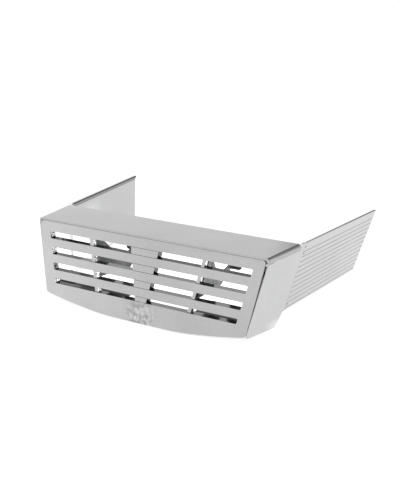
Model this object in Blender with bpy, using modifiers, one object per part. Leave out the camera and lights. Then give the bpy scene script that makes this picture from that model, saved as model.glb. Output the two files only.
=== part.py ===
"""Cowl vent: a slotted grille set into a cover with splayed cheeks and grooved wings.

Metres, +Z up. The vent is drawn in its own frame: X across, Y back from the grille, Z up, with
the origin at the middle of the cover's front edge. The empty vent_frame then tips the vent onto
the edges that it rests on and puts the middle of its footprint on the world's origin.
"""

import math

import bmesh
import bpy
from mathutils import Matrix, Vector

# Clearances and sheet thicknesses
GAP = 0.0003
WALL = 0.0025
COVER_WALL = 0.0022

# The face plane leans: its foot stands forward of its top.
LEAN = 0.125
FACE_TOP = -(COVER_WALL + GAP)
FACE_FOOT = -0.0851
FACE_SAG = 0.013
TOP_HALF = 0.14036
FOOT_HALF = 0.1264
FACE_TAPER = (TOP_HALF - FOOT_HALF) / -FACE_FOOT
FOOT_RADIUS = 0.0035
TOP_RADIUS = 0.003
SAG_STEPS = 20

# The sides splay towards the back and tuck in towards the foot. A cheek's outer face leans in
# a little further than the wing behind it, so its wall gets thinner towards the grille.
SIDE_HALF = 0.1444
SPLAY = 0.1429
TUCK = 0.1589
CHEEK_HALF = 0.1429
CHEEK_SPLAY = 0.1626
SLANT = math.hypot(1, SPLAY, TUCK)

# Cover
COVER_DEPTH = 0.0672
COVER_ROUND_FRONT = 0.0029
COVER_ROUND_BACK = 0.0043
ROUND_STEPS = 5
SKIRT = 0.007
REAR_LIP = 0.005
REAR_LIP_WALL = 0.002

# Grille: four rows of slots, the last one lower than the others
SLOT_TOP = -0.0136
SLOT_PITCH = 0.01785
SLOT_HEIGHTS = (0.0083, 0.0083, 0.0083, 0.0058)
SLOT_END = 0.12935
SLOT_END_TAPER = 0.2
SLOT_RADIUS = 0.0012
SKIN = 0.003
GRILLE_DEPTH = 0.009
RIM = 0.0022
RIM_ROOT = 0.001
RIM_BACK = GRILLE_DEPTH - 0.0003
POST_HALF = 0.07613
POST_TAPER = 0.21
POST_WIDTH = 0.004
POST_SETBACK = 0.002
POST_BACK = GRILLE_DEPTH - 0.0006
POST_OVERLAP = 0.001

# Centre blank, which plugs the middle of every slot
BLANK_HALF = 0.02
BLANK_TAPER = 0.18
BLANK_LAP = 0.0075
BLANK_STEP = 0.0005
BLANK_WALL = 0.002
BLANK_RADIUS = 0.0015

# Wings
WING_DEPTH = 0.2706
WING_HEIGHT = 0.0776
WING_RAKE = 0.3247
SEAM_DEPTH = 0.0762
SEAM_RAKE = 0.184
GROOVES = 12
GROOVE_TOP = 0.0102
GROOVE_PITCH = 0.00574
GROOVE_WIDTH = 0.0014
GROOVE_DEPTH = 0.0007
BEAD_DEPTH = 0.0018
BEAD_HEIGHT = 0.0035

# Cheeks
CHEEK_FOOT = 0.049
CHEEK_DROP = 0.0936
CHEEK_NOSE = 0.0865
CHEEK_HEEL = 0.0593
CHEEK_LIP = 0.0085
CHEEK_SETBACK = 0.0025
LIP_ROOT = 0.0019
LIP_ENDS = (-0.012, -0.080)
LIP_WALL = 0.0025
TONGUE_REACH = 0.012
TONGUE_WALL = 0.002
TONGUE_FRONT = 0.006
TONGUE_ENDS = (-0.0065, -(WING_HEIGHT - 0.003))
DOUBLER_FRONT = 0.0068
DOUBLER_BACK = 0.001
DOUBLER_WALL = 0.0028
DOUBLER_ROOT = 0.0005

# Brackets behind the grille's posts
BRACKET_HALF = 0.077
BRACKET_TOE = 0.03
BRACKET_WALL = 0.0022
BRACKET_DEPTH = 0.0865
BRACKET_TOP = -0.0115
BRACKET_NOSE = -0.059
BRACKET_FOOT = -0.064
BRACKET_STANDOFF = 0.0005
BRACKET_STRIP = 0.0145
BRACKET_NOTCH = ((0.044, -0.042), (0.064, -0.046), (0.080, -0.043))
BRACKET_HEEL = 0.066
LUG_REACH = 0.012
LUG_WALL = 0.002
TAB_REACH = 0.014
TAB_FOOT = -0.050
TAB_WALL = 0.002
TAB_STANDOFF = 0.0004
TAB_INSET = 0.001

# Foot plates
PLATE_INNER = 0.045
PLATE_FRONT = 0.012
PLATE_BACK = 0.07
PLATE_WALL = 0.0022
PLATE_RISE = 0.003
PLATE_FLANGE = 0.019
PLATE_FLANGE_BACK = 0.046
PLATE_CORNER = 0.012
STUD_HEIGHT = 0.004
STUD_ROOT = 0.0006

# Fasteners
SCREW_RADIUS = 0.00135
HEAD_RADIUS = 0.0028
HEAD_HEIGHT = 0.002
PILOT_RADIUS = SCREW_RADIUS + GAP
BOSS_RADIUS = 0.0029
COVER_BOSS_RADIUS = 0.004
PIN_RADIUS = 0.0009
PIN_HEAD = 0.0014
BOSS_ROOT = 0.002
BOSS_SCREW = 0.0065
LIP_SCREW = 0.0068
COVER_SCREW = 0.0085
FOOT_SCREW = 0.006
TURN_STEPS = 12

# How the vent stands: the plane of its feet is tipped back against its own frame.
PITCH = math.radians(4.6)
FOOT_DROP = 0.09703
ORIGIN_BACK = 0.1248

CHROME = ((0.78, 0.79, 0.80), 1.0, 0.12)
DARK_STEEL = ((0.16, 0.165, 0.17), 0.9, 0.35)
ZINC = ((0.55, 0.56, 0.57), 1.0, 0.3)
BLACK_PLASTIC = ((0.03, 0.03, 0.032), 0.0, 0.4)
BLACK_FOAM = ((0.02, 0.02, 0.02), 0.0, 0.9)

SIDES = (("left", -1), ("right", 1))
FACE_BACK = Vector((0, 1, -LEAN)).normalized()
FACE_SLANT = math.hypot(1, LEAN)
DOWN = Vector((0, 0, -1))


def start_scene():
    for old in list(bpy.data.objects):
        bpy.data.objects.remove(old, do_unlink=True)
    groups = []
    for name in ("cowl_vent", "cutters"):
        group = bpy.data.collections.new(name)
        bpy.context.scene.collection.children.link(group)
        groups.append(group)
    frame = bpy.data.objects.new("vent_frame", None)
    frame.rotation_euler.x = -PITCH
    frame.location = (0, -ORIGIN_BACK, FOOT_DROP)
    groups[0].objects.link(frame)
    bpy.context.view_layer.update()
    return (*groups, frame)


PARTS, CUTTERS, FRAME = start_scene()


# ---- Planes that the pieces are drawn on --------------------------------------------------


def affine(x_row, y_row, z_row):
    return Matrix((x_row, y_row, z_row, (0, 0, 0, 1)))


def face_place(depth=0.0):
    """Across, up, and back from the leaning face, starting at this depth behind it."""
    return affine((1, 0, 0, 0), (0, LEAN, 1, depth), (0, 1, 0, 0))


def level_place(height):
    """Across, back, and down from a level plane at this height."""
    return affine((1, 0, 0, 0), (0, 1, 0, 0), (0, 0, -1, height))


def side_place(side, inset=0.0):
    """Back, up, and inwards from a side's outer plane, starting at this inset."""
    across = (side * SPLAY, side * TUCK, -side, side * (SIDE_HALF - inset))
    return affine(across, (1, 0, 0, 0), (0, 1, 0, 0))


def bracket_place(side):
    """Back, up, and inwards from a bracket's outer face, which toes in and leans with the post."""
    across = (-side * BRACKET_TOE, side * POST_TAPER, -side, side * BRACKET_HALF)
    return affine(across, (1, 0, 0, 0), (0, 1, 0, 0))


def upright_place(depth):
    """Across, up, and back from an upright plane square to the vent, at this depth."""
    return affine((1, 0, 0, 0), (0, 0, 1, depth), (0, 1, 0, 0))


def floor_height(back):
    """The plane that the vent rests on, in the vent's own frame."""
    drop = FOOT_DROP / math.cos(PITCH)
    return back * math.tan(PITCH) - drop


def cheek_across(back, height):
    """How far out a cheek's outer face is."""
    return CHEEK_HALF + CHEEK_SPLAY * back + TUCK * height


def face_half(height):
    return TOP_HALF + FACE_TAPER * height


def slot_end(height):
    return SLOT_END + SLOT_END_TAPER * height


def post_edge(height):
    return POST_HALF + POST_TAPER * height


def blank_half(height):
    return BLANK_HALF + BLANK_TAPER * height


def seam_depth(height):
    return SEAM_DEPTH + SEAM_RAKE * height


def wing_depth(height):
    return WING_DEPTH + WING_RAKE * height


def slot_rows():
    """The upper and lower edge of each row of slots."""
    rows = []
    for row, height in enumerate(SLOT_HEIGHTS):
        top = SLOT_TOP - row * SLOT_PITCH
        rows.append((top, top - height))
    return rows


# ---- Outlines ------------------------------------------------------------------------------


def rounded(corners, radii, steps=3):
    """A polygon with each corner turned into an arc of its own radius."""
    points = []
    for index, radius in enumerate(radii):
        corner = Vector(corners[index])
        if not radius:
            points.append(tuple(corner))
            continue
        before = (Vector(corners[index - 1]) - corner).normalized()
        after = (Vector(corners[(index + 1) % len(corners)]) - corner).normalized()
        half = before.angle(after) / 2
        centre = corner + (before + after).normalized() * radius / math.sin(half)
        reach = radius / math.tan(half)
        start = corner + before * reach - centre
        end = corner + after * reach - centre
        first = math.atan2(start.y, start.x)
        sweep = math.remainder(math.atan2(end.y, end.x) - first, math.tau)
        for step in range(steps + 1):
            angle = first + sweep * step / steps
            points.append((centre.x + radius * math.cos(angle), centre.y + radius * math.sin(angle)))
    return points


def circle(across, up, radius, steps=TURN_STEPS):
    turns = [math.tau * step / steps for step in range(steps)]
    return [(across + radius * math.cos(turn), up + radius * math.sin(turn)) for turn in turns]


def band(half, top, bottom, grow=0.0):
    """A four-sided band right across the face, whose ends follow half(height)."""
    top, bottom = top + grow, bottom - grow
    upper, lower = half(top) + grow, half(bottom) + grow
    return [(-upper, top), (-lower, bottom), (lower, bottom), (upper, top)]


# ---- Building solids -----------------------------------------------------------------------


def add_piece(name, mesh):
    piece = bpy.data.objects.new(name, mesh)
    PARTS.objects.link(piece)
    piece.parent = FRAME
    return piece


def clean(mesh):
    solid = bmesh.new()
    solid.from_mesh(mesh)
    bmesh.ops.remove_doubles(solid, verts=solid.verts, dist=1e-6)
    bmesh.ops.recalc_face_normals(solid, faces=solid.faces)
    solid.to_mesh(mesh)
    solid.free()


def plate(name, outline, thickness, place):
    """A flat plate: a filled 2D outline, extruded, and carried into place."""
    curve = bpy.data.curves.new(name, "CURVE")
    curve.dimensions = "2D"
    curve.fill_mode = "BOTH"
    curve.extrude = thickness / 2
    spline = curve.splines.new("POLY")
    spline.points.add(len(outline) - 1)
    for point, (across, up) in zip(spline.points, outline):
        point.co = (across, up, 0, 1)
    spline.use_cyclic_u = True
    sketch = bpy.data.objects.new(name, curve)
    PARTS.objects.link(sketch)
    graph = bpy.context.evaluated_depsgraph_get()
    mesh = bpy.data.meshes.new_from_object(sketch.evaluated_get(graph))
    bpy.data.objects.remove(sketch)
    bpy.data.curves.remove(curve)
    mesh.transform(place @ Matrix.Translation((0, 0, thickness / 2)))
    clean(mesh)
    return add_piece(name, mesh)


def rod(name, start, way, radius, length):
    """A round bar from start along way: a boss, or the tool that bores a hole."""
    turn = Vector((0, 0, 1)).rotation_difference(Vector(way)).to_matrix().to_4x4()
    return plate(name, circle(0, 0, radius), length, Matrix.Translation(start) @ turn)


def loft(name, front, back):
    """A solid between two loops with the same number of points."""
    solid = bmesh.new()
    near = [solid.verts.new(point) for point in front]
    far = [solid.verts.new(point) for point in back]
    solid.faces.new(near)
    solid.faces.new(far)
    for index, corner in enumerate(near):
        solid.faces.new((near[index - 1], corner, far[index], far[index - 1]))
    bmesh.ops.recalc_face_normals(solid, faces=solid.faces)
    mesh = bpy.data.meshes.new(name)
    solid.to_mesh(mesh)
    solid.free()
    return add_piece(name, mesh)


def combine(piece, tool, operation):
    """Adds a tool to a piece, or cuts it away."""
    PARTS.objects.unlink(tool)
    CUTTERS.objects.link(tool)
    tool.name = "tool_" + tool.name
    tool.hide_render = True
    tool.display_type = "WIRE"
    change = piece.modifiers.new(tool.name, "BOOLEAN")
    change.operation = operation
    change.solver = "EXACT"
    change.object = tool


def join(piece, tool):
    combine(piece, tool, "UNION")


def cut(piece, tool):
    combine(piece, tool, "DIFFERENCE")


def finish(piece, look):
    colour, metallic, roughness = look
    material = bpy.data.materials.new(piece.name)
    material.use_nodes = True
    shader = material.node_tree.nodes["Principled BSDF"]
    shader.inputs["Base Color"].default_value = (*colour, 1)
    shader.inputs["Metallic"].default_value = metallic
    shader.inputs["Roughness"].default_value = roughness
    piece.data.materials.append(material)
    return piece


def turned(name, profile, seat, way, look):
    """A turned fastener on its seat, with its head along way."""
    mesh = bpy.data.meshes.new(name)
    points = [(radius, 0, height) for radius, height in profile]
    mesh.from_pydata(points, [(i, i + 1) for i in range(len(points) - 1)], [])
    piece = add_piece(name, mesh)
    piece.rotation_mode = "QUATERNION"
    piece.rotation_quaternion = Vector((0, 0, 1)).rotation_difference(Vector(way))
    piece.location = seat
    lathe = piece.modifiers.new("lathe", "SCREW")
    lathe.steps = TURN_STEPS
    lathe.render_steps = TURN_STEPS
    lathe.use_merge_vertices = True
    lathe.merge_threshold = 1e-5
    lathe.use_smooth_shade = True
    return finish(piece, look)


def screw(name, seat, way, length):
    """A pan-head screw. seat is the face under its head, and way points out of the head."""
    profile = [
        (0, HEAD_HEIGHT),
        (HEAD_RADIUS * 0.65, HEAD_HEIGHT),
        (HEAD_RADIUS, HEAD_HEIGHT * 0.55),
        (HEAD_RADIUS, 0),
        (SCREW_RADIUS, 0),
        (SCREW_RADIUS, -length + SCREW_RADIUS),
        (SCREW_RADIUS * 0.4, -length),
        (0, -length),
    ]
    lifted = Vector(seat) + Vector(way).normalized() * GAP
    return turned(name, profile, lifted, way, ZINC)


def pin(name, seat, way, length):
    """A drive pin with a low round head."""
    profile = [
        (0, 0.0004),
        (PIN_HEAD * 0.7, 0.0003),
        (PIN_HEAD, 0),
        (PIN_RADIUS, 0),
        (PIN_RADIUS, -length),
        (0, -length),
    ]
    lifted = Vector(seat) + Vector(way).normalized() * GAP
    return turned(name, profile, lifted, way, CHROME)


# ---- Grille --------------------------------------------------------------------------------

LUG_HEIGHTS = (-0.0078, -0.0272)
LUG_HALF = 0.0035
LUG_TOP = LUG_HEIGHTS[0] + LUG_HALF - 0.0016
LUG_HOLE = 0.068
LIP_HEIGHTS = (-0.022, -0.07)
LIP_HOLE_INSET = 0.005
BLANK_HOLE_HEIGHTS = (-0.0267, -0.0624)


def face_point(across, height, depth):
    """Where a line square to the face, from this point of it, meets the plane at this depth."""
    return face_place() @ Vector((across, height, 0)) + FACE_BACK * depth / FACE_SLANT


def face_outline():
    """The grille's edge: straight top and sides, and a foot that sags to the middle."""
    corners = [(-face_half(FACE_TOP), FACE_TOP)]
    radii = [TOP_RADIUS]
    for step in range(SAG_STEPS + 1):
        share = 2 * step / SAG_STEPS - 1
        corners.append((FOOT_HALF * share, FACE_FOOT - FACE_SAG * (1 - share * share)))
        radii.append(FOOT_RADIUS if step in (0, SAG_STEPS) else 0)
    corners.append((face_half(FACE_TOP), FACE_TOP))
    radii.append(TOP_RADIUS)
    return rounded(corners, radii)


def lug_hole(height):
    return LUG_HOLE + POST_TAPER * height


def fascia_boss_places():
    """Across and up of every screw boss on the back of the grille."""
    places = [(0, height) for height in BLANK_HOLE_HEIGHTS]
    for _, side in SIDES:
        places += [(side * lug_hole(height), height) for height in LUG_HEIGHTS]
        for height in LIP_HEIGHTS:
            places.append((side * (face_half(height) - LIP_HOLE_INSET), height))
    return places


def make_fascia():
    fascia = plate("grille_fascia", face_outline(), SKIN, face_place())
    for row, (top, bottom) in enumerate(slot_rows()):
        outline = rounded(band(slot_end, top, bottom, RIM), [RIM + SLOT_RADIUS] * 4)
        join(fascia, plate(f"rim_{row}", outline, RIM_BACK - RIM_ROOT, face_place(RIM_ROOT)))
    for row, (top, bottom) in enumerate(slot_rows()):
        outline = rounded(band(slot_end, top, bottom), [SLOT_RADIUS] * 4)
        cut(fascia, plate(f"slot_{row}", outline, 3 * GRILLE_DEPTH, face_place(-GRILLE_DEPTH)))
    for name, side in SIDES:
        top, bottom = SLOT_TOP + POST_OVERLAP, slot_rows()[-1][1] - POST_OVERLAP
        outline = [
            (side * post_edge(top), top),
            (side * post_edge(bottom), bottom),
            (side * (post_edge(bottom) - POST_WIDTH), bottom),
            (side * (post_edge(top) - POST_WIDTH), top),
        ]
        depth = POST_BACK - POST_SETBACK
        join(fascia, plate(f"post_{name}", outline, depth, face_place(POST_SETBACK)))
    for number, (across, height) in enumerate(fascia_boss_places()):
        start = face_point(across, height, BOSS_ROOT)
        length = (GRILLE_DEPTH - BOSS_ROOT) / FACE_SLANT
        join(fascia, rod(f"boss_{number}", start, FACE_BACK, BOSS_RADIUS, length))
    for number, (across, height) in enumerate(fascia_boss_places()):
        start = face_point(across, height, SKIN + 0.0005)
        cut(fascia, rod(f"pilot_{number}", start, FACE_BACK, PILOT_RADIUS, GRILLE_DEPTH))
    finish(fascia, CHROME)


def make_centre_blank():
    """A backing strip whose four pads fill the middle of the slots, level with the bars."""
    top = slot_rows()[0][0] + BLANK_LAP
    bottom = slot_rows()[-1][1] - BLANK_LAP
    depth = GRILLE_DEPTH + GAP
    strip = rounded(band(blank_half, top, bottom, -BLANK_STEP), [BLANK_RADIUS] * 4)
    blank = plate("centre_blank", strip, BLANK_WALL, face_place(depth))
    for row, (upper, lower) in enumerate(slot_rows()):
        pad = band(blank_half, upper - GAP, lower + GAP)
        join(blank, plate(f"pad_{row}", pad, depth + BLANK_WALL / 2, face_place(0)))
    for number, height in enumerate(BLANK_HOLE_HEIGHTS):
        start = face_point(0, height, depth - 0.004)
        cut(blank, rod(f"blank_hole_{number}", start, FACE_BACK, PILOT_RADIUS, 0.01))
        seat = face_point(0, height, depth + BLANK_WALL)
        screw(f"blank_screw_{number + 1}", seat, FACE_BACK, BOSS_SCREW)
    finish(blank, CHROME)


# ---- Cover ---------------------------------------------------------------------------------

EAR_BACKS = (0.020, 0.052)
EAR_INSET = 0.0125
EAR_TOP = -0.0102
EAR_WALL = 0.0025
EAR_HALF = 0.006
EAR_END = 0.005
COVER_BOSS_ROOT = 0.0015
LINER_FRONT = 0.0135
LINER_BACK = 0.0645
LINER_FRONT_HALF = 0.1265
LINER_BACK_HALF = 0.1335
LINER_WALL = 0.003


def cover_edge(back, wall):
    """Half of the cover's section, from its skirt up round its edge, pulled in by wall."""
    radius = COVER_ROUND_FRONT + (COVER_ROUND_BACK - COVER_ROUND_FRONT) * back / COVER_DEPTH
    half = cheek_across(back, 0) - radius
    reach = radius * (1 - TUCK) - wall
    edge = [(cheek_across(back, -SKIRT) - wall, -SKIRT)]
    for step in range(ROUND_STEPS + 1):
        angle = math.pi / 2 * step / ROUND_STEPS
        height = -radius + (radius - wall) * math.sin(angle)
        edge.append((half + reach * math.cos(angle), height))
    return edge


def cover_loop(back, lean):
    outer, inner = cover_edge(back, 0), cover_edge(back, COVER_WALL)
    loop = outer + [(-across, height) for across, height in reversed(outer)]
    loop += [(-across, height) for across, height in inner]
    loop += list(reversed(inner))
    return [(across, back + lean * height, height) for across, height in loop]


def ear_places():
    """Across and back of the four screws that hold the cheeks' ears to the cover."""
    for name, side in SIDES:
        for number, back in enumerate(EAR_BACKS):
            yield f"{name}_{number + 1}", side * (SIDE_HALF + SPLAY * back - EAR_INSET), back


def make_cover():
    cover = loft("top_cover", cover_loop(0, LEAN), cover_loop(COVER_DEPTH, 0))
    half = cheek_across(COVER_DEPTH, 0) - COVER_ROUND_BACK
    lip = [(-half, -0.001), (half, -0.001), (half, -REAR_LIP), (-half, -REAR_LIP)]
    join(cover, plate("rear_lip", lip, REAR_LIP_WALL, upright_place(COVER_DEPTH - REAR_LIP_WALL)))
    boss_height = -EAR_TOP - COVER_BOSS_ROOT - GAP
    for name, across, back in ear_places():
        start = (across, back, -COVER_BOSS_ROOT)
        join(cover, rod(f"cover_boss_{name}", start, DOWN, COVER_BOSS_RADIUS, boss_height))
    for name, across, back in ear_places():
        start = (across, back, -0.003)
        cut(cover, rod(f"cover_pilot_{name}", start, DOWN, PILOT_RADIUS, 0.02))
    finish(cover, CHROME)


def make_cover_liner():
    """A foam sheet under the cover, from one row of screw bosses to the other."""
    corners = [
        (-LINER_FRONT_HALF, LINER_FRONT),
        (LINER_FRONT_HALF, LINER_FRONT),
        (LINER_BACK_HALF, LINER_BACK),
        (-LINER_BACK_HALF, LINER_BACK),
    ]
    outline = rounded(corners, [0.003] * 4)
    liner = plate("cover_liner", outline, LINER_WALL, level_place(-COVER_WALL - GAP))
    finish(liner, BLACK_FOAM)


# ---- Sides ---------------------------------------------------------------------------------

STUD_BACKS = (0.020, 0.040)
STUD_AT = -0.080
PIN_HEIGHTS = (-0.0055, -0.0130, -0.0704)
PIN_BEHIND_SEAM = 0.003


def side_point(side, back, height, inset):
    return side_place(side) @ Vector((back, height, inset))


def inward(side):
    """The way straight in from a side's plane."""
    return -Vector((side, -SPLAY, -TUCK)).normalized()


def cheek_outline():
    top = -SKIRT - GAP
    corners = [
        (LEAN * top + CHEEK_SETBACK, top),
        (-LEAN * CHEEK_NOSE, -CHEEK_NOSE),
        (CHEEK_FOOT, -CHEEK_DROP),
        (CHEEK_HEEL, -WING_HEIGHT),
        (seam_depth(-WING_HEIGHT) - GAP, -WING_HEIGHT),
        (seam_depth(0) - GAP, 0),
        (COVER_DEPTH + GAP, 0),
        (COVER_DEPTH + GAP, top),
    ]
    return rounded(corners, [0, 0.003, 0.0015, 0.001, 0, 0.001, 0, 0])


def tongue_outline(front, back):
    """A strip along the seam, from front to back of it."""
    top, bottom = TONGUE_ENDS
    return [
        (seam_depth(top) + front, top),
        (seam_depth(bottom) + front, bottom),
        (seam_depth(bottom) + back, bottom),
        (seam_depth(top) + back, top),
    ]


def make_cheek(name, side):
    """A side wall with a lip behind the grille, ears under the cover and a tongue to the wing."""
    outline = cheek_outline()
    outer = [(side * cheek_across(back, height), back, height) for back, height in outline]
    inner = [side_point(side, back, height, WALL) for back, height in outline]
    cheek = loft(f"{name}_cheek", outer, inner)

    lip = []
    for height in LIP_ENDS:
        lip.append((side * (face_half(height) - CHEEK_LIP), height))
    for height in reversed(LIP_ENDS):
        wall = SIDE_HALF + SPLAY * (LEAN * height + GRILLE_DEPTH) + TUCK * height
        lip.append((side * (wall - LIP_ROOT), height))
    lip_depth = GRILLE_DEPTH + GAP
    join(cheek, plate(f"{name}_lip", lip, LIP_WALL, face_place(lip_depth)))
    for number, height in enumerate(LIP_HEIGHTS):
        across = side * (face_half(height) - LIP_HOLE_INSET)
        start = face_point(across, height, lip_depth - 0.003)
        cut(cheek, rod(f"{name}_lip_hole_{number}", start, FACE_BACK, PILOT_RADIUS, 0.01))
        seat = face_point(across, height, lip_depth + LIP_WALL)
        screw(f"{name}_fascia_screw_{number + 1}", seat, FACE_BACK, LIP_SCREW)

    for number, back in enumerate(EAR_BACKS):
        centre = SIDE_HALF + SPLAY * back - EAR_INSET
        wall = SIDE_HALF + SPLAY * back + TUCK * EAR_TOP - LIP_ROOT
        corners = [
            (side * (centre - EAR_END), back - EAR_HALF),
            (side * wall, back - EAR_HALF),
            (side * wall, back + EAR_HALF),
            (side * (centre - EAR_END), back + EAR_HALF),
        ]
        ear = rounded(corners, [0.003, 0, 0, 0.003])
        join(cheek, plate(f"{name}_ear_{number}", ear, EAR_WALL, level_place(EAR_TOP)))
        start = (side * centre, back, EAR_TOP + 0.002)
        cut(cheek, rod(f"{name}_ear_hole_{number}", start, DOWN, PILOT_RADIUS, 0.006))
        seat = (side * centre, back, EAR_TOP - EAR_WALL)
        screw(f"{name}_cover_screw_{number + 1}", seat, DOWN, COVER_SCREW)

    doubler = tongue_outline(-DOUBLER_FRONT, -DOUBLER_BACK)
    place = side_place(side, WALL - DOUBLER_ROOT)
    join(cheek, plate(f"{name}_doubler", doubler, DOUBLER_WALL, place))
    tongue = tongue_outline(-TONGUE_FRONT, TONGUE_REACH)
    inset = WALL + GAP
    join(cheek, plate(f"{name}_tongue", tongue, TONGUE_WALL, side_place(side, inset)))
    for number, height in enumerate(PIN_HEIGHTS):
        start = side_point(side, seam_depth(height) + PIN_BEHIND_SEAM, height, 0)
        cut(cheek, rod(f"{name}_pin_hole_{number}", start, inward(side), PIN_RADIUS + GAP, 0.008))

    for number, back in enumerate(STUD_BACKS):
        start = side_point(side, back, STUD_AT, WALL - STUD_ROOT)
        length = STUD_HEIGHT + STUD_ROOT
        join(cheek, rod(f"{name}_stud_{number}", start, inward(side), BOSS_RADIUS, length))
        cut(cheek, rod(f"{name}_stud_pilot_{number}", start, inward(side), PILOT_RADIUS, 0.01))
    finish(cheek, CHROME)


def wing_profile():
    """The wing's section as inset and height: grooved outside, plain inside, beaded along its top."""
    profile = [(0, 0)]
    for groove in range(GROOVES):
        height = -GROOVE_TOP - groove * GROOVE_PITCH
        for inset, rise in ((0, 0.5), (GROOVE_DEPTH, 0.2), (GROOVE_DEPTH, -0.2), (0, -0.5)):
            profile.append((inset, height + rise * GROOVE_WIDTH))
    profile += [(0, -WING_HEIGHT), (WALL, -WING_HEIGHT), (WALL, -BEAD_HEIGHT - 0.001)]
    profile += [(WALL + BEAD_DEPTH, -BEAD_HEIGHT), (WALL + BEAD_DEPTH, -0.0008), (WALL + 0.001, 0)]
    return profile


def make_wing(name, side):
    profile = wing_profile()
    front = [side_point(side, seam_depth(height), height, inset) for inset, height in profile]
    back = [side_point(side, wing_depth(height), height, inset) for inset, height in profile]
    wing = loft(f"{name}_wing", front, back)
    for number, height in enumerate(PIN_HEIGHTS):
        depth = seam_depth(height) + PIN_BEHIND_SEAM
        seat = side_point(side, depth, height, 0)
        start = side_point(side, depth, height, -0.001)
        cut(wing, rod(f"{name}_wing_hole_{number}", start, inward(side), PIN_RADIUS + GAP, 0.006))
        pin(f"{name}_seam_pin_{number + 1}", seat, -inward(side), WALL + GAP + TONGUE_WALL)
    finish(wing, CHROME)


# ---- Inside --------------------------------------------------------------------------------


def make_bracket(name, side):
    """A U-shaped web behind a post: lugs turned in to the bars, and a tab turned out at its back."""
    front = GRILLE_DEPTH + GAP
    corners = [
        (LEAN * LUG_TOP + front + BRACKET_STANDOFF, LUG_TOP),
        (LEAN * BRACKET_NOSE + front + BRACKET_STANDOFF, BRACKET_NOSE),
        (BRACKET_HEEL, BRACKET_FOOT),
        (BRACKET_DEPTH, TAB_FOOT),
        (BRACKET_DEPTH, BRACKET_TOP),
        (BRACKET_NOTCH[2][0], BRACKET_TOP),
        BRACKET_NOTCH[2],
        BRACKET_NOTCH[1],
        BRACKET_NOTCH[0],
        (BRACKET_STRIP, BRACKET_TOP - 0.002),
        (BRACKET_STRIP, LUG_TOP),
    ]
    radii = [0, 0.003, 0.003, 0.002, 0, 0, 0.003, 0.008, 0.006, 0.002, 0.001]
    bracket = plate(f"{name}_bracket", rounded(corners, radii), BRACKET_WALL, bracket_place(side))
    for number, height in enumerate(LUG_HEIGHTS):
        outer = BRACKET_HALF - BRACKET_WALL + POST_TAPER * height
        corners = [
            (side * (outer - LUG_REACH), height + LUG_HALF),
            (side * outer, height + LUG_HALF),
            (side * outer, height - LUG_HALF),
            (side * (outer - LUG_REACH), height - LUG_HALF),
        ]
        lug = rounded(corners, [0.002, 0, 0, 0.002])
        join(bracket, plate(f"{name}_lug_{number}", lug, LUG_WALL, face_place(front)))
        across = side * lug_hole(height)
        start = face_point(across, height, front - 0.003)
        cut(bracket, rod(f"{name}_lug_hole_{number}", start, FACE_BACK, PILOT_RADIUS, 0.008))
        seat = face_point(across, height, front + LUG_WALL)
        screw(f"{name}_bracket_screw_{number + 1}", seat, FACE_BACK, BOSS_SCREW)
    top, bottom = BRACKET_TOP - TAB_INSET, TAB_FOOT + TAB_INSET
    back = BRACKET_HALF - BRACKET_TOE * BRACKET_DEPTH - BRACKET_WALL / 2
    upper, lower = back + POST_TAPER * top, back + POST_TAPER * bottom
    corners = [
        (side * upper, top),
        (side * (upper + TAB_REACH), top),
        (side * (lower + TAB_REACH), bottom),
        (side * lower, bottom),
    ]
    tab = rounded(corners, [0, 0.003, 0.003, 0])
    tab_place = upright_place(BRACKET_DEPTH - TAB_WALL + TAB_STANDOFF)
    join(bracket, plate(f"{name}_tab", tab, TAB_WALL, tab_place))
    finish(bracket, DARK_STEEL)


def make_foot_plate(name, side):
    """A level plate just above the deck, with a flange screwed to the cheek's studs."""
    clearance = STUD_HEIGHT + GAP
    inset = WALL + clearance * SLANT
    flange_back = PLATE_FLANGE_BACK

    def outer(back):
        rise = floor_height(back) + PLATE_RISE
        return SIDE_HALF + SPLAY * back + TUCK * rise - inset

    corners = [
        (side * PLATE_INNER, PLATE_FRONT),
        (side * outer(PLATE_FRONT), PLATE_FRONT),
        (side * outer(flange_back), flange_back),
        (side * (outer(flange_back) - PLATE_CORNER), PLATE_BACK),
        (side * PLATE_INNER, PLATE_BACK),
    ]
    outline = rounded(corners, [0.006, 0, 0.002, 0.008, 0.006])
    tilt = math.tan(PITCH)
    place = affine((1, 0, 0, 0), (0, 1, 0, 0), (0, tilt, 1, floor_height(0) + PLATE_RISE))
    foot = plate(f"{name}_foot_plate", outline, PLATE_WALL, place)
    base = PLATE_RISE + 0.001
    flange = [
        (PLATE_FRONT, floor_height(PLATE_FRONT) + base),
        (flange_back, floor_height(flange_back) + base),
        (flange_back, floor_height(flange_back) + PLATE_FLANGE),
        (PLATE_FRONT, floor_height(PLATE_FRONT) + PLATE_FLANGE),
    ]
    outline = rounded(flange, [0, 0, 0.003, 0.003])
    join(foot, plate(f"{name}_foot_flange", outline, PLATE_WALL, side_place(side, inset)))
    for number, back in enumerate(STUD_BACKS):
        stud = side_point(side, back, STUD_AT, WALL)
        start = stud + inward(side) * (STUD_HEIGHT - 0.001)
        cut(foot, rod(f"{name}_flange_hole_{number}", start, inward(side), PILOT_RADIUS, 0.006))
        seat = stud + inward(side) * (clearance + PLATE_WALL / SLANT)
        screw(f"{name}_foot_screw_{number + 1}", seat, inward(side), FOOT_SCREW)
    finish(foot, BLACK_PLASTIC)


def main():
    make_fascia()
    make_centre_blank()
    make_cover()
    make_cover_liner()
    for name, side in SIDES:
        make_cheek(name, side)
        make_wing(name, side)
        make_bracket(name, side)
        make_foot_plate(name, side)


main()
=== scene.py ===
"""Looks of the cowl vent: bright plated pieces, dark brackets and plates inside, on a pale floor."""

import math

import bmesh
import bpy
from mathutils import Matrix, Vector


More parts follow.
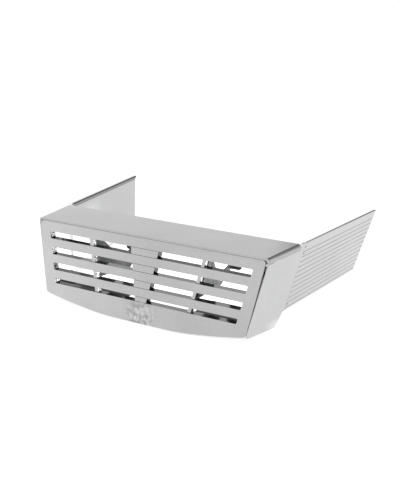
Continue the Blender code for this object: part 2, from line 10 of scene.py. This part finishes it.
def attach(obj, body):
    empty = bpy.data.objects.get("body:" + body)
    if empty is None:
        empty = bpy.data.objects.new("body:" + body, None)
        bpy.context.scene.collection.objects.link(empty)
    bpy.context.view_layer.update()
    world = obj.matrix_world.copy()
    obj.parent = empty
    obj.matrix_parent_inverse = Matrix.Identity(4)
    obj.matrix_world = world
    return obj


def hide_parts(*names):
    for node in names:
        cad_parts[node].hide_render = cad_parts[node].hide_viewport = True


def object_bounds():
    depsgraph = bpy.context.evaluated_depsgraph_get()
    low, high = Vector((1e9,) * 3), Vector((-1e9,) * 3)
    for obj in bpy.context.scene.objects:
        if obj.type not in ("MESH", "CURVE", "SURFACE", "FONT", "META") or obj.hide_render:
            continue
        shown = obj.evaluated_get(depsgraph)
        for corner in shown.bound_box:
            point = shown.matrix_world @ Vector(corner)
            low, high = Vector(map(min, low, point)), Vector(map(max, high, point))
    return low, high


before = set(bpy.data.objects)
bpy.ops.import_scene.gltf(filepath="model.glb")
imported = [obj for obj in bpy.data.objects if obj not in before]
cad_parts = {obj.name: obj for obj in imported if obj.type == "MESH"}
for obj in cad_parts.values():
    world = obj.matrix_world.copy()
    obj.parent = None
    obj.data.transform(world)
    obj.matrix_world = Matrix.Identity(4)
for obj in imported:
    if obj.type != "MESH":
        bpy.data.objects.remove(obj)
cad_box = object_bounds()

# How the vent stands: its own frame, tipped back about X and moved so that it rests on the floor
PITCH = math.radians(4.6)
FOOT_DROP = 0.09703
ORIGIN_BACK = 0.1248
VENT = Matrix.Translation((0, -ORIGIN_BACK, FOOT_DROP)) @ Matrix.Rotation(-PITCH, 4, "X")
VENT_TURN = VENT.to_3x3()
HOME = VENT.inverted()
HOME_TURN = HOME.to_3x3()

# The planes that the sides lie on, at half the vent's width
SIDE_HALF = 0.1444
SPLAY = 0.1429
TUCK = 0.1589
WALL = 0.0025

# Grille: how its face leans and narrows, its rows of slots, and how deep their walls go
LEAN = 0.125
FACE_SLANT = math.hypot(1, LEAN)
TOP_HALF = 0.14036
FACE_TAPER = 0.16404
SLOT_TOP = -0.0136
SLOT_PITCH = 0.01785
SLOT_HEIGHTS = (0.0083, 0.0083, 0.0083, 0.0058)
SLOT_END = 0.12935
SLOT_END_TAPER = 0.2
GRILLE_DEPTH = 0.009
SKIN_DEEP = 0.0003
EDGE_DEPTH = 0.0032
SLOT_CORNER = 0.0018
BLANK_CLEAR = 0.04
FOOT_TOP = -0.0835
FOOT_DEPTH = 0.004
FOOT_ROLL = 0.0016

# Cover's skirt and the fillet inside its front corner
SKIRT = 0.007
SKIRT_TOP = 0.0035
SKIRT_FRONT = 0.0006
SKIRT_INNER = 0.13
SKIRT_CUT = 0.0042
FILLET_TOP = -0.0023
FILLET_FOOT = -0.003
FILLET_HALF = 0.1403
CORNER_FILL = 0.001

# Cheeks
CHEEK_LEAN_IN = 0.0015
CHEEK_FLARE = 0.0018
CHEEK_FLARE_END = 0.085
CHEEK_FRONT = 0.0035
LIP_BACK = 0.02
SKIRT_SEAM_TOP = -0.006
SKIRT_SEAM_FOOT = -0.0085
SKIRT_SEAM_HALF = 0.138

# Wings
WING_DEPTH = 0.2706
WING_HEIGHT = 0.0776
WING_RAKE = 0.3247
WING_SECTIONS = (0, 0.004, 0.25, 0.5, 0.75, 0.996, 1)
ROUND_STEPS = 4
WING_TOP_ROUND = 0.0012
WING_FOOT_ROUND = 0.0008
SEAM_DEPTH = 0.0762
SEAM_RAKE = 0.184
GROOVES = 12
GROOVE_TOP = 0.0102
GROOVE_PITCH = 0.00574
GROOVE_WIDTH = 0.0022
GROOVE_DEPTH = 0.0006
GROOVE_STEPS = 8
BEAD_DEPTH = 0.0018
BEAD_HEIGHT = 0.0035
BEAD_DROP = 0.0002
BEAD_FOOT = 0.0022
BEAD_STEPS = 8

SIDES = (("left", -1), ("right", 1))

# Places closer than NEAR count as the same; TOUCH is the least distance kept between two things
NEAR = 0.0004
TOUCH = 0.0001

# Camera
FOCAL_LENGTH = 52.128
SENSOR = 36
CAMERA_TURN = math.radians(26.95)
CAMERA_RISE = math.radians(21.40)
CAMERA_DISTANCE = 0.7514
FACE_TOP = -0.0022
AIM_PAST_FACE_TOP = Vector((0.06581, 0, -0.00165))

# The floor's glow, and the hollow between the wings where it is stronger: painted light that lifts the
# shade under the vent
FLOOR_HALF = 60.0
FLOOR_GLOW = 0.93
HOLLOW_GLOW = 0.75
HOLLOW_HALF = 0.15
HOLLOW_SIDE_FADE = 0.02
HOLLOW_FRONT = -0.10
HOLLOW_BACK = 0.155
HOLLOW_FADE = 0.03

# The room's light, and where its darker wall fades in and out, as components of a unit direction
ROOM_LIGHT = 1.0
DARK_WALL = 0.26
GREY_WALL = 0.55
WALL_START = (-0.34, -0.26)
WALL_PALER = (0.3, 0.5)
WALL_BEHIND = (0.15, 0.4)
WALL_TOP = (0.8, 0.92)
WALL_FOOT = (0.0, 0.01)


# ---- Shader nodes --------------------------------------------------------------------------


def shader_material(name, colour, metallic, roughness):
    material = bpy.data.materials.new(name)
    material.use_nodes = True
    shader = material.node_tree.nodes["Principled BSDF"]
    shader.inputs["Base Color"].default_value = (*colour, 1)
    shader.inputs["Metallic"].default_value = metallic
    shader.inputs["Roughness"].default_value = roughness
    return material, material.node_tree, shader


def maths(tree, kind, first, second=0.0):
    """Arithmetic on two values, each of them a number or a socket."""
    node = tree.nodes.new("ShaderNodeMath")
    node.operation = kind
    for socket, value in zip(node.inputs, (first, second)):
        if isinstance(value, float):
            socket.default_value = value
        else:
            tree.links.new(value, socket)
    return node.outputs[0]


def noise(tree, scale, detail=4.0, stretch=(1, 1, 1)):
    """Noise in the object's own metres, stretched along some of its axes."""
    where = tree.nodes.new("ShaderNodeTexCoord")
    spread = tree.nodes.new("ShaderNodeMapping")
    spread.inputs["Scale"].default_value = stretch
    grain = tree.nodes.new("ShaderNodeTexNoise")
    grain.inputs["Scale"].default_value = scale
    grain.inputs["Detail"].default_value = detail
    tree.links.new(where.outputs["Object"], spread.inputs["Vector"])
    tree.links.new(spread.outputs["Vector"], grain.inputs["Vector"])
    return grain.outputs["Fac"]


def remap(tree, value, low, high, start=0.3, end=0.7, curve="LINEAR"):
    """A value that goes from low to high as the one given goes from start to end."""
    node = tree.nodes.new("ShaderNodeMapRange")
    node.interpolation_type = curve
    tree.links.new(value, node.inputs["Value"])
    for name, number in (("From Min", start), ("From Max", end), ("To Min", low), ("To Max", high)):
        node.inputs[name].default_value = number
    return node.outputs["Result"]


def ramp(tree, value, low, high, start, end):
    return remap(tree, value, low, high, start, end, "SMOOTHSTEP")


def mix_colours(tree, factor, first, second):
    """A blend of two colours, each of them three numbers or a socket."""
    node = tree.nodes.new("ShaderNodeMix")
    node.data_type = "RGBA"
    for name, colour in (("A", first), ("B", second)):
        if isinstance(colour, tuple):
            node.inputs[name].default_value = (*colour, 1)
        else:
            tree.links.new(colour, node.inputs[name])
    tree.links.new(factor, node.inputs["Factor"])
    return node.outputs["Result"]


def bump(tree, height, strength, distance):
    node = tree.nodes.new("ShaderNodeBump")
    node.inputs["Strength"].default_value = strength
    node.inputs["Distance"].default_value = distance
    tree.links.new(height, node.inputs["Height"])
    return node.outputs["Normal"]


def tint(tree, colour, factor):
    """The colour, made lighter or darker by a factor that varies round one."""
    node = tree.nodes.new("ShaderNodeVectorMath")
    node.operation = "SCALE"
    tree.links.new(colour, node.inputs[0])
    tree.links.new(factor, node.inputs["Scale"])
    return node.outputs[0]


def own_axes(tree, space="Object"):
    """The point's coordinates: across the vent, back, and up from the floor."""
    where = tree.nodes.new("ShaderNodeTexCoord")
    split = tree.nodes.new("ShaderNodeSeparateXYZ")
    tree.links.new(where.outputs[space], split.inputs["Vector"])
    return split.outputs["X"], split.outputs["Y"], split.outputs["Z"]


# ---- Materials -----------------------------------------------------------------------------


def grille_sheen_and_blotch(tree, tone):
    """The grille's plating is painted paler towards its left end as a painted reflection, and blotched
    lighter and darker low down in the middle.
    """
    across, _, height = own_axes(tree)
    sheen_gain = remap(tree, across, 1.17, 1.0, -0.13, -0.02)
    tone = tint(tree, tone, sheen_gain)
    near = remap(tree, across, 0, 1, -0.022, -0.008)
    far = remap(tree, across, 1, 0, 0.008, 0.022)
    low = remap(tree, height, 1, 0, 0.016, 0.03)
    middle_blotch = maths(tree, "MULTIPLY", maths(tree, "MULTIPLY", near, far), low)
    blots = remap(tree, noise(tree, 230, 4), -0.36, 0.24, 0.4, 0.62)
    change = maths(tree, "MULTIPLY", middle_blotch, blots)
    return tint(tree, tone, maths(tree, "ADD", change, 1.0))


def wing_floor_reflection(tree, tone):
    """The wings' inner faces are painted paler low down near the cheeks: a painted reflection of the
    floor.
    """
    _, back, height = own_axes(tree)
    near = remap(tree, back, 0.7, 0, -0.035, 0.03)
    low = remap(tree, height, 1, 0, 0.066, 0.08)
    sheen_gain = maths(tree, "MULTIPLY", near, low)
    return tint(tree, tone, maths(tree, "ADD", sheen_gain, 1.0))


def chrome(name, bright, dull, roughness, painted_sheen_and_blotches=None):
    """Plating: a cloud in its tone with fine specks, a haze that comes and goes, a slow ripple, and where
    given a painted reflection over its tone.
    """
    material, tree, shader = shader_material(name, bright, 1.0, roughness)
    cloud = remap(tree, noise(tree, 18, 3), 0, 1)
    tone = mix_colours(tree, cloud, bright, dull)
    specks = remap(tree, noise(tree, 420, 3, (1, 1, 0.6)), 0.972, 1.028)
    tone = tint(tree, tone, specks)
    if painted_sheen_and_blotches:
        tone = painted_sheen_and_blotches(tree, tone)
    tree.links.new(tone, shader.inputs["Base Color"])
    haze = remap(tree, noise(tree, 55, 5), roughness * 0.75, roughness * 1.4)
    tree.links.new(haze, shader.inputs["Roughness"])
    ripple = noise(tree, 30, 2)
    tree.links.new(bump(tree, ripple, 0.12, 0.0006), shader.inputs["Normal"])
    return material


def painted_glint_chrome():
    """Small uneven patches painted dark and bright by turns: painted shade and painted glints, as crumpled
    corners show.
    """
    material, tree, shader = shader_material("chrome_glint_patches", (0.5, 0.5, 0.5), 1.0, 0.15)
    patches = remap(tree, noise(tree, 520, 2, (1, 1, 1.5)), 0, 1, 0.42, 0.58)
    tone = mix_colours(tree, patches, (0.05, 0.051, 0.052), (0.92, 0.92, 0.92))
    tree.links.new(tone, shader.inputs["Base Color"])
    return material


def glowing_lining():
    """The plating on the inside of the cheeks, painted pale and given a slight glow: painted light."""
    material, tree, shader = shader_material("chrome_painted_glow", (0.82, 0.82, 0.82), 1.0, 0.14)
    haze = remap(tree, noise(tree, 55, 5), 0.1, 0.2)
    tree.links.new(haze, shader.inputs["Roughness"])
    shader.inputs["Emission Color"].default_value = (1, 1, 1, 1)
    shader.inputs["Emission Strength"].default_value = 0.3
    return material


def dark_steel():
    material, tree, shader = shader_material("dark_steel", (0.10, 0.103, 0.107), 0.35, 0.42)
    streak = remap(tree, noise(tree, 140, 6, (1, 1, 0.15)), 0.34, 0.55)
    tree.links.new(streak, shader.inputs["Roughness"])
    cloud = remap(tree, noise(tree, 40, 4), 0, 1)
    tone = mix_colours(tree, cloud, (0.05, 0.052, 0.055), (0.17, 0.173, 0.178))
    tree.links.new(tone, shader.inputs["Base Color"])
    return material


def zinc():
    material, tree, shader = shader_material("zinc", (0.5, 0.5, 0.49), 1.0, 0.28)
    cloud = remap(tree, noise(tree, 900, 3), 0, 1)
    tone = mix_colours(tree, cloud, (0.44, 0.45, 0.45), (0.6, 0.59, 0.55))
    tree.links.new(tone, shader.inputs["Base Color"])
    return material


def moulded_black():
    material, tree, shader = shader_material("moulded_black", (0.02, 0.02, 0.021), 0.0, 0.42)
    grain = noise(tree, 1400, 3)
    tree.links.new(bump(tree, grain, 0.35, 0.00008), shader.inputs["Normal"])
    haze = remap(tree, noise(tree, 60, 4), 0.32, 0.5)
    tree.links.new(haze, shader.inputs["Roughness"])
    return material


def black_foam():
    """Black foam, painted pale over most of its length as painted light."""
    material, tree, shader = shader_material("black_foam", (0.012, 0.012, 0.012), 0.0, 0.95)
    cells = noise(tree, 1800, 2)
    tree.links.new(bump(tree, cells, 0.9, 0.0003), shader.inputs["Normal"])
    grain = remap(tree, cells, 0, 1)
    unlit_black = mix_colours(tree, grain, (0.006, 0.006, 0.006), (0.02, 0.02, 0.02))
    painted_lit = mix_colours(tree, grain, (0.5, 0.5, 0.5), (0.62, 0.62, 0.62))
    across, _, _ = own_axes(tree)
    lit_share = remap(tree, across, 0, 1, -0.082, -0.07)
    tree.links.new(mix_colours(tree, lit_share, unlit_black, painted_lit), shader.inputs["Base Color"])
    return material


MATERIALS = {
    # One plating in lit and shaded copies: the cover darker and the cheeks, pins and wings paler, as
    # painted light and shade; the slot walls, slot ends and the wings' bead are painted shade, the
    # crumpled-corner patches painted glints and shade, the foot rim a painted highlight, and the cheeks'
    # inner plating a painted glow.
    "grille": chrome("chrome_grille", (0.49, 0.491, 0.492), (0.44, 0.441, 0.442), 0.07, grille_sheen_and_blotch),
    "cover": chrome("chrome_cover", (0.446, 0.447, 0.448), (0.417, 0.418, 0.419), 0.09),
    "recess": chrome("chrome_slot_shade", (0.20, 0.202, 0.204), (0.15, 0.151, 0.152), 0.12),
    "slot_end": chrome("chrome_end_shade", (0.07, 0.071, 0.072), (0.03, 0.031, 0.032), 0.16),
    "glint_patches": painted_glint_chrome(),
    "rim": chrome("chrome_foot_highlight", (0.80, 0.802, 0.804), (0.74, 0.742, 0.744), 0.10),
    "side": chrome("chrome_side", (0.60, 0.602, 0.604), (0.55, 0.552, 0.554), 0.07),
    "wing": chrome("chrome_wing", (0.60, 0.602, 0.604), (0.565, 0.567, 0.569), 0.09),
    "wing_inner": chrome("chrome_inner_wing_shading", (0.53, 0.532, 0.534), (0.50, 0.502, 0.504), 0.1, wing_floor_reflection),
    "bead": chrome("chrome_shaded_bead", (0.26, 0.261, 0.262), (0.22, 0.221, 0.222), 0.2),
    "lining": glowing_lining(),
    "steel": dark_steel(),
    "zinc": zinc(),
    "moulded": moulded_black(),
    "foam": black_foam(),
}


# ---- Meshes --------------------------------------------------------------------------------


def add_piece(name, mesh, material, node):
    """A piece of the vent that rides on the frame and stands for one CAD node."""
    piece = bpy.data.objects.new(name, mesh)
    bpy.context.scene.collection.objects.link(piece)
    mesh.materials.clear()
    mesh.materials.append(MATERIALS[material])
    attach(piece, "root")
    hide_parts(node)
    return piece


def add_materials(mesh, *names):
    """Gives the mesh further materials, and says at which index each of them stands."""
    index = {}
    for name in names:
        index[name] = len(mesh.materials)
        mesh.materials.append(MATERIALS[name])
    return index


def welded_copy(node, name):
    """The node's mesh with its split edges joined and its flat faces merged."""
    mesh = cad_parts[node].data.copy()
    mesh.name = name
    solid = bmesh.new()
    solid.from_mesh(mesh)
    bmesh.ops.remove_doubles(solid, verts=solid.verts, dist=2e-6)
    bmesh.ops.dissolve_limit(
        solid,
        angle_limit=math.radians(0.6),
        use_dissolve_boundaries=False,
        verts=solid.verts,
        edges=solid.edges,
    )
    bmesh.ops.recalc_face_normals(solid, faces=solid.faces)
    solid.to_mesh(mesh)
    solid.free()
    return mesh


def soften(piece, width, segments=2, angle=30):
    """Rounds the edges a little, so that they catch the light."""
    edge = piece.modifiers.new("soft_edges", "BEVEL")
    edge.width = width
    edge.segments = segments
    edge.limit_method = "ANGLE"
    edge.angle_limit = math.radians(angle)
    edge.miter_outer = "MITER_ARC"
    for face in piece.data.polygons:
        face.use_smooth = True
    even = piece.modifiers.new("flat_faces", "WEIGHTED_NORMAL")
    even.mode = "FACE_AREA"
    even.weight = 100
    even.keep_sharp = True


def refined(node, material, width, segments=2, angle=30):
    """A copy of a CAD node with softened edges."""
    name = node + "_skin"
    piece = add_piece(name, welded_copy(node, name), material, node)
    soften(piece, width, segments, angle)
    return piece


def loft_mesh(name, loops):
    """A closed solid through loops of the same number of points, carried to the vent's place."""
    solid = bmesh.new()
    rings = [[solid.verts.new(VENT @ Vector(point)) for point in loop] for loop in loops]
    for ring, following in zip(rings, rings[1:]):
        for index in range(len(ring)):
            solid.faces.new((ring[index - 1], ring[index], following[index], following[index - 1]))
    solid.faces.new(rings[0])
    solid.faces.new(rings[-1])
    bmesh.ops.recalc_face_normals(solid, faces=solid.faces)
    mesh = bpy.data.meshes.new(name)
    solid.to_mesh(mesh)
    solid.free()
    return mesh


def own_points(mesh):
    """Each vertex with its place in the vent's own frame."""
    return [(vertex, HOME @ vertex.co) for vertex in mesh.vertices]


def own_faces(mesh):
    """Each face with its centre and its normal in the vent's own frame."""
    return [(face, HOME @ face.center, HOME_TURN @ face.normal) for face in mesh.polygons]


def behind_face(place):
    """How far back a point is from the grille's leaning face, measured level."""
    return place.y - LEAN * place.z


# ---- Wings ---------------------------------------------------------------------------------


def seam_depth(height):
    return SEAM_DEPTH + SEAM_RAKE * height


def wing_depth(height):
    return WING_DEPTH + WING_RAKE * height


def side_point(side, back, height, inset):
    across = SIDE_HALF - inset + SPLAY * back + TUCK * height
    return (side * across, back, height)


def wing_profile():
    """Inset and height round the wing's section, with rounded grooves and a rolled top."""
    profile = []
    for step in range(ROUND_STEPS + 1):
        angle = math.pi / 2 * step / ROUND_STEPS
        inset = WING_TOP_ROUND * (1 - math.sin(angle))
        profile.append((inset, -WING_TOP_ROUND * (1 - math.cos(angle))))
    for groove in range(GROOVES):
        height = -GROOVE_TOP - groove * GROOVE_PITCH
        for step in range(GROOVE_STEPS + 1):
            share = step / GROOVE_STEPS
            inset = GROOVE_DEPTH * (1 - math.cos(math.tau * share)) / 2
            profile.append((inset, height + (0.5 - share) * GROOVE_WIDTH))
    profile += [
        (0, -WING_HEIGHT + WING_FOOT_ROUND),
        (WING_FOOT_ROUND, -WING_HEIGHT),
        (WALL - WING_FOOT_ROUND, -WING_HEIGHT),
        (WALL, -WING_HEIGHT + WING_FOOT_ROUND),
        (WALL, -BEAD_HEIGHT - BEAD_FOOT),
    ]
    for step in range(BEAD_STEPS + 1):
        angle = -math.pi / 2 + math.pi * step / BEAD_STEPS
        height = -BEAD_HEIGHT / 2 - BEAD_DROP + BEAD_HEIGHT / 2 * math.sin(angle)
        profile.append((WALL + BEAD_DEPTH * math.cos(angle), height))
    return profile


def build_wing(name, side):
    """A grooved wing, plainer on its inner face; that face is painted as shade with a painted floor
    reflection low down, and the bead along its top is painted dark as shade.
    """
    profile = wing_profile()
    loops = []
    for share in WING_SECTIONS:
        loop = []
        for inset, height in profile:
            front, back = seam_depth(height), wing_depth(height)
            loop.append(side_point(side, front + (back - front) * share, height, inset))
        loops.append(loop)
    piece_name = f"{name}_wing_skin"
    mesh = loft_mesh(piece_name, loops)
    piece = add_piece(piece_name, mesh, "wing", f"{name}_wing")
    index = add_materials(mesh, "wing_inner", "bead")
    for face, centre, normal in own_faces(mesh):
        if side * normal.x < -0.3:
            on_bead = centre.z > -BEAD_HEIGHT - BEAD_FOOT + TOUCH
            face.material_index = index["bead" if on_bead else "wing_inner"]
    soften(piece, 0.00025, angle=35)


# ---- Grille --------------------------------------------------------------------------------


def in_slot_band(height):
    """Whether a height lies between the top and the bottom edge of one of the slot rows."""
    for row, tall in enumerate(SLOT_HEIGHTS):
        top = SLOT_TOP - row * SLOT_PITCH
        if top - tall - NEAR < height < top + NEAR:
            return True
    return False


def paint_slot_shade(piece, index):
    """Paints the walls of the slots darker, as painted shade in the recesses."""
    for face, centre, normal in own_faces(piece.data):
        depth = behind_face(centre) / FACE_SLANT
        from_end = SLOT_END + SLOT_END_TAPER * centre.z - abs(centre.x)
        inside = from_end > -NEAR
        on_wall = abs(normal.y - LEAN * normal.z) < 0.5
        walled = SKIN_DEEP < depth < GRILLE_DEPTH + NEAR and on_wall
        if SKIN_DEEP < depth < EDGE_DEPTH and abs(normal.x) > 0.8 and not inside:
            face.material_index = index["slot_end"]
        if not (walled and inside and in_slot_band(centre.z)):
            continue
        if abs(normal.z) > 0.5:
            face.material_index = index["recess"]
        elif from_end < SLOT_CORNER:
            face.material_index = index["glint_patches" if centre.x < 0 else "slot_end"]
        elif normal.x > 0.5 and abs(centre.x) > BLANK_CLEAR:
            face.material_index = index["glint_patches"]


def is_foot(face):
    normal, centre = HOME_TURN @ face.normal, HOME @ face.calc_center_median()
    return centre.z < FOOT_TOP and normal.z < -0.6 and behind_face(centre) < FOOT_DEPTH


def on_face(edge):
    return all(abs(behind_face(HOME @ vertex.co)) < NEAR for vertex in edge.verts)


def roll_foot(piece, rim):
    """Rolls the grille's foot edge under, with a painted highlight along the rim."""
    mesh = piece.data
    solid = bmesh.new()
    solid.from_mesh(mesh)
    under = [face for face in solid.faces if is_foot(face)]
    floor = cad_box[0][2] + TOUCH
    for vertex in {vertex for face in under for vertex in face.verts}:
        vertex.co.z = max(floor, vertex.co.z - FOOT_ROLL)
    front = [edge for face in under for edge in face.edges if on_face(edge)]
    bmesh.ops.bevel(
        solid, geom=front, offset=FOOT_ROLL, segments=3, affect="EDGES", profile=0.5, material=rim
    )
    solid.to_mesh(mesh)
    solid.free()
    for face in mesh.polygons:
        face.use_smooth = True


def build_grille():
    grille = refined("grille_fascia", "grille", 0.00045, segments=3)
    index = add_materials(grille.data, "recess", "slot_end", "rim", "glint_patches")
    paint_slot_shade(grille, index)
    roll_foot(grille, index["rim"])
    blank = refined("centre_blank", "grille", 0.0002)
    index = add_materials(blank.data, "slot_end")
    # The blank's side faces are painted shade.
    for face, _, normal in own_faces(blank.data):
        if abs(normal.x) > 0.6:
            face.material_index = index["slot_end"]


# ---- Cover and cheeks ----------------------------------------------------------------------


def build_cover():
    """The skirt's gap beside the grille is open up to the top on the right, and filled on the left."""
    cover = refined("top_cover", "cover", 0.0006, segments=3, angle=40)
    for vertex, place in own_points(cover.data):
        if behind_face(place) > SKIRT_FRONT:
            continue
        if place.z < -SKIRT_TOP and place.x > SKIRT_INNER:
            vertex.co += VENT_TURN @ Vector((0, SKIRT_CUT * min(1, -place.z / SKIRT), 0))
        if FILLET_FOOT < place.z < FILLET_TOP and -FILLET_HALF < place.x < -SKIRT_INNER:
            vertex.co += VENT_TURN @ Vector((CORNER_FILL, 0, -CORNER_FILL))


def close_front_corner(cheek):
    """Thickens the left cheek's front edge inwards to the grille, and flares it out to the skirt."""
    for vertex, place in own_points(cheek.data):
        if behind_face(place) > CHEEK_FRONT:
            continue
        outer = SIDE_HALF - CHEEK_LEAN_IN + TUCK * place.z
        if abs(place.x) < outer - NEAR:
            reach = TOP_HALF + FACE_TAPER * place.z + 2 * TOUCH
            vertex.co += VENT_TURN @ Vector((-reach - place.x, 0, 0))
        else:
            flare = CHEEK_FLARE * max(0, 1 + place.z / CHEEK_FLARE_END)
            vertex.co += VENT_TURN @ Vector((-flare, 0, 0))


def build_cheek(name, side):
    """Painted light inside and along the skirt's seam, in pale glowing plating; the left one meets grille
    and skirt in front.
    """
    cheek = refined(f"{name}_cheek", "side", 0.0004, segments=3)
    index = add_materials(cheek.data, "lining")
    for face, centre, normal in own_faces(cheek.data):
        inner_edge = normal.y < -0.5 and centre.y > LIP_BACK
        at_seam = SKIRT_SEAM_FOOT < centre.z < SKIRT_SEAM_TOP and abs(centre.x) > SKIRT_SEAM_HALF
        if side * normal.x < -0.5 or inner_edge or (at_seam and normal.z > 0.6):
            face.material_index = index["lining"]
    if side < 0:
        close_front_corner(cheek)


# ---- Inside and fasteners ------------------------------------------------------------------


def build_inside():
    refined("cover_liner", "foam", 0.0008)
    for name, _ in SIDES:
        refined(f"{name}_bracket", "steel", 0.0003)
        refined(f"{name}_foot_plate", "moulded", 0.0005)


def build_fasteners():
    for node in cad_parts:
        if "_screw" in node:
            refined(node, "zinc", 0.0002)
        elif "_pin" in node:
            refined(node, "side", 0.0001)


# ---- Stage ---------------------------------------------------------------------------------


def pale_floor():
    """White paper that glows a little, most of all under the hollow between the wings, where the extra
    glow is painted light against the shade there.
    """
    material, tree, shader = shader_material("floor", (0.15, 0.15, 0.15), 0.0, 1.0)
    shader.inputs["Emission Color"].default_value = (1, 1, 1, 1)
    across, along, _ = own_axes(tree)
    half = (HOLLOW_HALF - HOLLOW_SIDE_FADE, HOLLOW_HALF)
    middle = ramp(tree, maths(tree, "ABSOLUTE", across), 1.0, 0.0, *half)
    front = ramp(tree, along, 0.0, 1.0, HOLLOW_FRONT, HOLLOW_FRONT + HOLLOW_FADE)
    back = ramp(tree, along, 1.0, 0.0, HOLLOW_BACK - HOLLOW_FADE, HOLLOW_BACK)
    hollow = maths(tree, "MULTIPLY", maths(tree, "MULTIPLY", middle, front), back)
    extra = maths(tree, "MULTIPLY", hollow, HOLLOW_GLOW)
    tree.links.new(maths(tree, "ADD", extra, FLOOR_GLOW), shader.inputs["Emission Strength"])
    return material


def soft_studio():
    """A white room with a darker wall far behind the vent, paler towards its right end."""
    world = bpy.data.worlds.new("studio")
    world.use_nodes = True
    tree = world.node_tree
    across, along, up = own_axes(tree, "Generated")
    dark = ramp(tree, across, 0.0, ROOM_LIGHT - DARK_WALL, *WALL_START)
    paler = ramp(tree, across, 0.0, GREY_WALL - DARK_WALL, *WALL_PALER)
    behind = ramp(tree, along, 0.0, 1.0, *WALL_BEHIND)
    low = ramp(tree, up, 1.0, 0.0, *WALL_TOP)
    clear = ramp(tree, up, 0.0, 1.0, *WALL_FOOT)
    wall = maths(tree, "MULTIPLY", maths(tree, "SUBTRACT", dark, paler), behind)
    wall = maths(tree, "MULTIPLY", wall, maths(tree, "MULTIPLY", low, clear))
    backdrop = tree.nodes["Background"]
    backdrop.inputs["Color"].default_value = (1, 1, 1, 1)
    tree.links.new(maths(tree, "SUBTRACT", ROOM_LIGHT, wall), backdrop.inputs["Strength"])
    return world


def build_floor():
    mesh = bpy.data.meshes.new("floor")
    corners = [(x * FLOOR_HALF, y * FLOOR_HALF, 0) for x, y in ((-1, -1), (1, -1), (1, 1), (-1, 1))]
    mesh.from_pydata(corners, [], [(0, 1, 2, 3)])
    mesh.materials.append(pale_floor())
    floor = bpy.data.objects.new("floor", mesh)
    floor.location.z = cad_box[0][2] - 2 * TOUCH
    bpy.context.scene.collection.objects.link(floor)


def area_light(name, place, target, size, power):
    data = bpy.data.lights.new(name, "AREA")
    data.shape = "RECTANGLE"
    data.size, data.size_y = size
    data.energy = power
    light = bpy.data.objects.new(name, data)
    light.location = place
    aim = Vector(target) - Vector(place)
    light.rotation_euler = aim.to_track_quat("-Z", "Y").to_euler()
    bpy.context.scene.collection.objects.link(light)


def build_camera():
    lens = bpy.data.cameras.new("camera")
    lens.sensor_fit = "AUTO"
    lens.sensor_width = SENSOR
    lens.lens = FOCAL_LENGTH
    lens.clip_start = 0.01
    camera = bpy.data.objects.new("camera", lens)
    level = math.cos(CAMERA_RISE)
    away = Vector(
        (math.sin(CAMERA_TURN) * level, -math.cos(CAMERA_TURN) * level, math.sin(CAMERA_RISE))
    )
    target = VENT @ Vector((0, LEAN * FACE_TOP, FACE_TOP)) + AIM_PAST_FACE_TOP
    camera.location = target + away * CAMERA_DISTANCE
    camera.rotation_euler = (-away).to_track_quat("-Z", "Y").to_euler()
    bpy.context.scene.collection.objects.link(camera)
    bpy.context.scene.camera = camera


def build_stage():
    build_floor()
    bpy.context.scene.world = soft_studio()
    area_light("key", (0.9, -1.0, 1.4), (0, 0, 0), (1.2, 0.9), 2)
    area_light("fill", (-1.3, -0.6, 0.9), (0, 0, 0.03), (1.0, 1.0), 1)
    build_camera()
    bpy.context.scene.view_settings.view_transform = "Standard"


# ---- The whole vent ------------------------------------------------------------------------


def main():
    build_grille()
    build_cover()
    for name, side in SIDES:
        build_cheek(name, side)
        build_wing(name, side)
    build_inside()
    build_fasteners()
    build_stage()


main()

bpy.context.view_layer.update()
